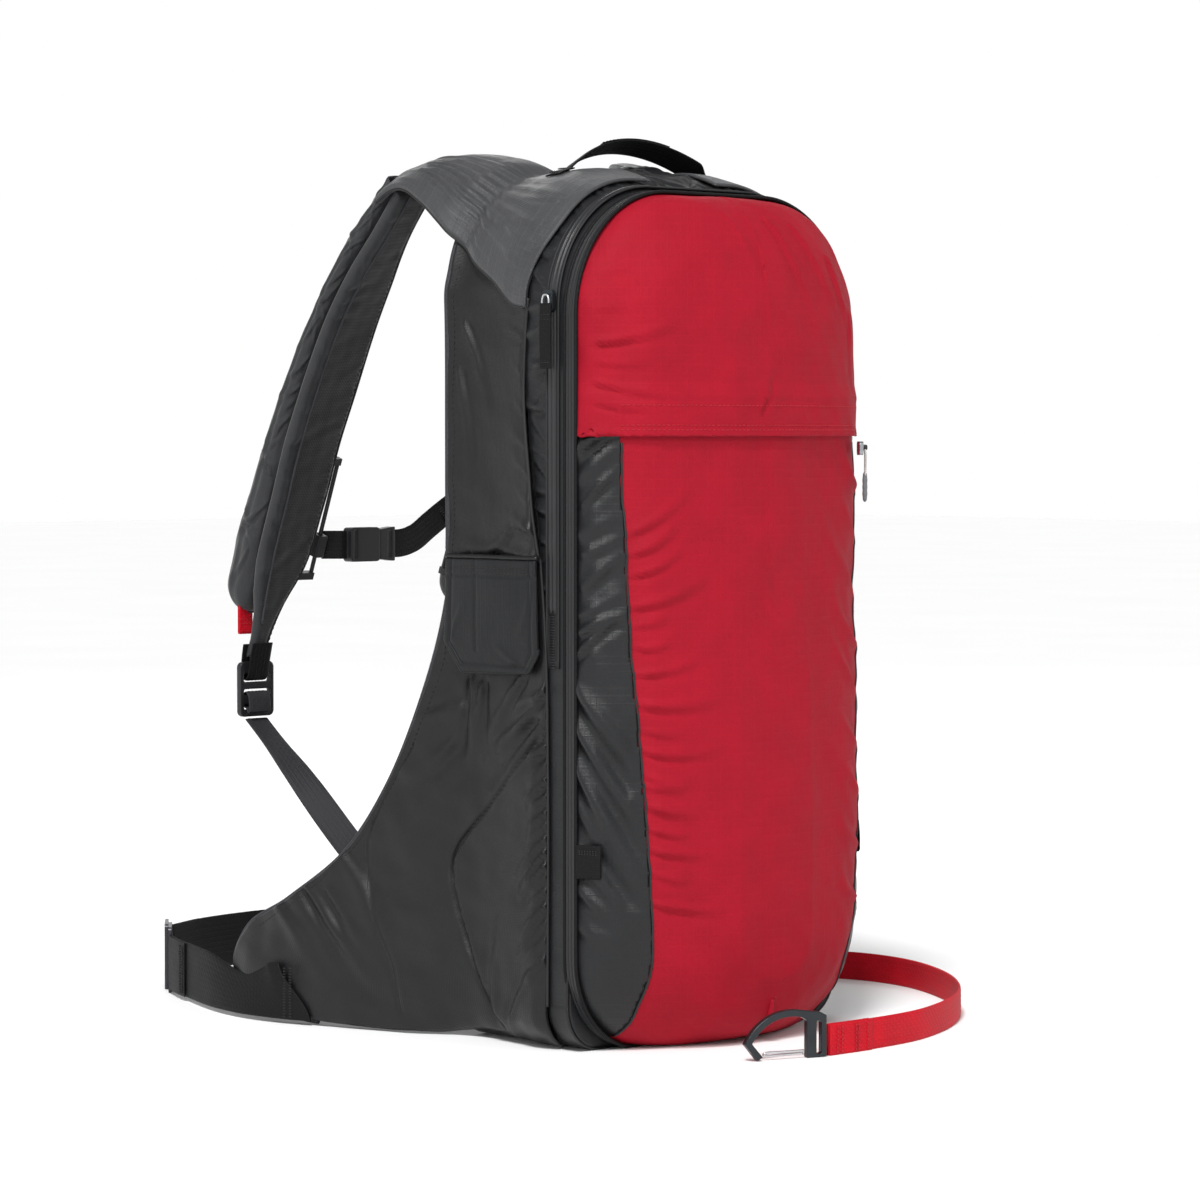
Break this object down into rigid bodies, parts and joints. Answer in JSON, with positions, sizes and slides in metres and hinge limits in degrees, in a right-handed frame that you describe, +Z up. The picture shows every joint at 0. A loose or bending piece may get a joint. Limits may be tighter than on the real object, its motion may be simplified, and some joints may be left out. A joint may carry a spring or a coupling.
{
  "type": "ski backpack with airbag",
  "caption": "Ski backpack with a zip-on front section, hip fins, padded shoulder straps, hip belt, chest strap, side airbag flap and a leg loop with a carabiner.",
  "frame": {"origin": "centre of the base on the surface the pack stands on, under the main compartment", "axes": "+Z up along the pack, +X to the wearer's right, +Y towards the wearer"},
  "size_m": [0.4365, 0.5842, 0.5857],
  "materials": {
    "shell_fabric": "coated ripstop",
    "red_fabric": "coated plain weave",
    "fin_fabric": "stretch weave",
    "strap_fabric": "padded mesh and weave",
    "back_foam": "moulded foam",
    "webbing_black": "woven webbing",
    "webbing_red": "woven webbing",
    "zip_tape": "coil zip",
    "zip_metal": "die cast",
    "black_plastic": "moulded",
    "buckle_metal": "anodised",
    "carabiner_metal": "anodised",
    "wire_steel": "drawn wire",
    "sheet_plastic": "polyethylene sheet",
    "stay_metal": "bar",
    "battery_case": "moulded",
    "control_case": "moulded",
    "fan_plastic": "moulded",
    "airbag_cloth": "coated nylon"
  },
  "bodies": {
    "pack": {"top_panel": "shell_fabric", "side_panel_left": "shell_fabric", "side_panel_right": "shell_fabric", "base_panel": "shell_fabric", "divider_panel": "shell_fabric", "back_panel": "shell_fabric", "front_gusset_left": "shell_fabric", "front_gusset_right": "shell_fabric", "shoulder_yoke_left": "shell_fabric", "shoulder_yoke_right": "shell_fabric", "front_upper_panel": "red_fabric", "front_lower_panel": "red_fabric", "hip_fin_left": "fin_fabric", "hip_fin_right": "fin_fabric", "shoulder_strap_left": "strap_fabric", "shoulder_strap_right": "strap_fabric", "strap_sleeve_left": "strap_fabric", "strap_sleeve_right": "strap_fabric", "back_pad": "back_foam", "lumbar_pad": "back_foam", "adjust_webbing_left": "webbing_black", "adjust_webbing_right": "webbing_black", "hip_webbing_left": "webbing_black", "hip_webbing_right": "webbing_black", "tool_loops": "webbing_black", "leg_strap": "webbing_red", "main_zip_tape": "zip_tape", "booster_zip_tape": "zip_tape", "pocket_zip_tape": "zip_tape", "pocket_zip_slider": "zip_metal", "sternum_rail_left": "black_plastic", "sternum_rail_right": "black_plastic", "hip_buckle_frame": "buckle_metal", "frame_sheet": "sheet_plastic", "frame_stays": "stay_metal", "battery_pack": "battery_case", "control_unit": "control_case", "fan_housing": "fan_plastic", "folded_airbag": "airbag_cloth"},
    "main_slider_left": {"main_zip_slider_left": "zip_metal"},
    "main_slider_right": {"main_zip_slider_right": "zip_metal"},
    "main_pull_left": {"main_zip_pull_left": "webbing_black"},
    "main_pull_right": {"main_zip_pull_right": "webbing_black"},
    "pocket_pull": {"pocket_zip_pull": "black_plastic"},
    "side_flap": {"airbag_flap": "shell_fabric"},
    "handle": {"grab_handle": "webbing_black"},
    "lock_left": {"ladder_lock_left": "black_plastic"},
    "lock_right": {"ladder_lock_right": "black_plastic"},
    "chest_strap": {"sternum_clip_left": "black_plastic", "sternum_clip_right": "black_plastic", "sternum_webbing_left": "webbing_black", "sternum_webbing_right": "webbing_black", "sternum_buckle_socket": "black_plastic", "sternum_buckle_plug": "black_plastic"},
    "hip_hook": {"hip_buckle_hook": "buckle_metal"},
    "trigger": {"trigger_tab": "webbing_red"},
    "carabiner": {"carabiner_body": "carabiner_metal"},
    "gate": {"carabiner_gate": "wire_steel"},
    "impeller": {"fan_impeller": "fan_plastic"}
  },
  "joints": [
    {"name": "main_slider_left_run", "type": "slide", "parent": "pack", "child": "main_slider_left", "axis": [0, 0, 1], "range_m": [-0.19, 0]},
    {"name": "main_pull_left_swing", "type": "hinge", "parent": "main_slider_left", "child": "main_pull_left", "pos_m": [-0.1317, -0.045, 0.4776], "axis": [0, 1, 0], "range_deg": [0, 120]},
    {"name": "lock_left_tilt", "type": "hinge", "parent": "pack", "child": "lock_left", "pos_m": [-0.103, 0.2767, 0.232], "axis": [1, 0, 0], "range_deg": [-10, 20]},
    {"name": "main_slider_right_run", "type": "slide", "parent": "pack", "child": "main_slider_right", "axis": [0, 0, 1], "range_m": [-0.19, 0]},
    {"name": "main_pull_right_swing", "type": "hinge", "parent": "main_slider_right", "child": "main_pull_right", "pos_m": [0.1317, -0.045, 0.4776], "axis": [0, -1, 0], "range_deg": [0, 120]},
    {"name": "lock_right_tilt", "type": "hinge", "parent": "pack", "child": "lock_right", "pos_m": [0.103, 0.2767, 0.232], "axis": [1, 0, 0], "range_deg": [-10, 20]},
    {"name": "pocket_pull_swing", "type": "hinge", "parent": "pack", "child": "pocket_pull", "pos_m": [0.10504, -0.10344, 0.3831], "axis": [-0.6252, -0.7804, 0], "range_deg": [0, 100]},
    {"name": "side_flap_lift", "type": "hinge", "parent": "pack", "child": "side_flap", "pos_m": [-0.1325, 0.006, 0.3113], "axis": [0, 1, 0], "range_deg": [0, 110]},
    {"name": "handle_tip", "type": "hinge", "parent": "pack", "child": "handle", "pos_m": [0, 0.006, 0.5609], "axis": [-1, 0, 0], "range_deg": [-60, 10], "stiffness_Nm_per_rad": 0.05},
    {"name": "chest_strap_height", "type": "slide", "parent": "pack", "child": "chest_strap", "axis": [0, 0.3536, -0.9354], "range_m": [-0.022, 0.01]},
    {"name": "hip_hook_open", "type": "hinge", "parent": "pack", "child": "hip_hook", "pos_m": [-0.10626, 0.3722, 0.0234], "axis": [0, 0, -1], "range_deg": [0, 60]},
    {"name": "trigger_pull", "type": "slide", "parent": "pack", "child": "trigger", "axis": [0, 0, -1], "range_m": [0, 0.02], "stiffness_N_per_m": 150},
    {"name": "carabiner_swivel", "type": "hinge", "parent": "pack", "child": "carabiner", "pos_m": [-0.0157, -0.1758, 0.012], "axis": [0, 0, 1], "range_deg": [-35, 35]},
    {"name": "gate_open", "type": "hinge", "parent": "carabiner", "child": "gate", "pos_m": [-0.02983, -0.17064, 0.0039], "axis": [0.342, 0.9397, 0], "range_deg": [0, 25], "stiffness_Nm_per_rad": 0.02},
    {"name": "fan_spin", "type": "hinge", "parent": "pack", "child": "impeller", "pos_m": [0.01, 0.0135, 0.39], "axis": [0, 1, 0], "continuous": true}
  ]
}
